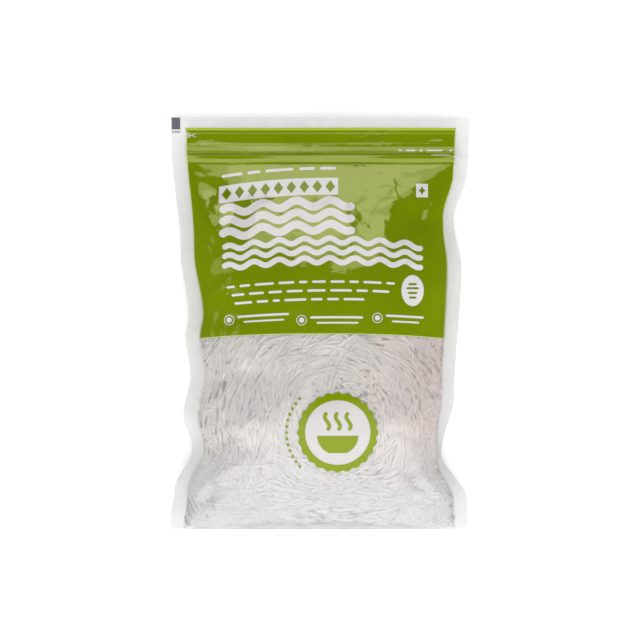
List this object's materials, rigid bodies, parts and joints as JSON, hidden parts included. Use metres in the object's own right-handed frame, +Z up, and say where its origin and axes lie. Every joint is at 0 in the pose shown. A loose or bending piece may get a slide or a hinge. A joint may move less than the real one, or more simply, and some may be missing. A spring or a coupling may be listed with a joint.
{
  "type": "pouch of string hoppers",
  "caption": "Sealed zip pouch lying on its back: printed green upper panel, clear lower window full of fine steamed rice noodles, flat heat-sealed edges and a ribbed zip across the header.",
  "frame": {"origin": "on the floor under the middle of the pouch, which lies on its back", "axes": "+X across the pouch to the right as its front is seen, +Y from the bottom fold to the header, +Z up out of the front"},
  "size_m": [0.2, 0.275, 0.0459],
  "materials": {
    "printed_film": "glossy laminated polyethylene film, reverse-printed olive green",
    "clear_film": "clear glossy polyethylene film, milky where it is heat-sealed",
    "white_print": "white and plain coloured print under the glossy film",
    "rice_noodles": "steamed rice noodle, off-white, faintly moist and translucent"
  },
  "bodies": {
    "root": {"pouch": "printed_film"}
  },
  "joints": []
}
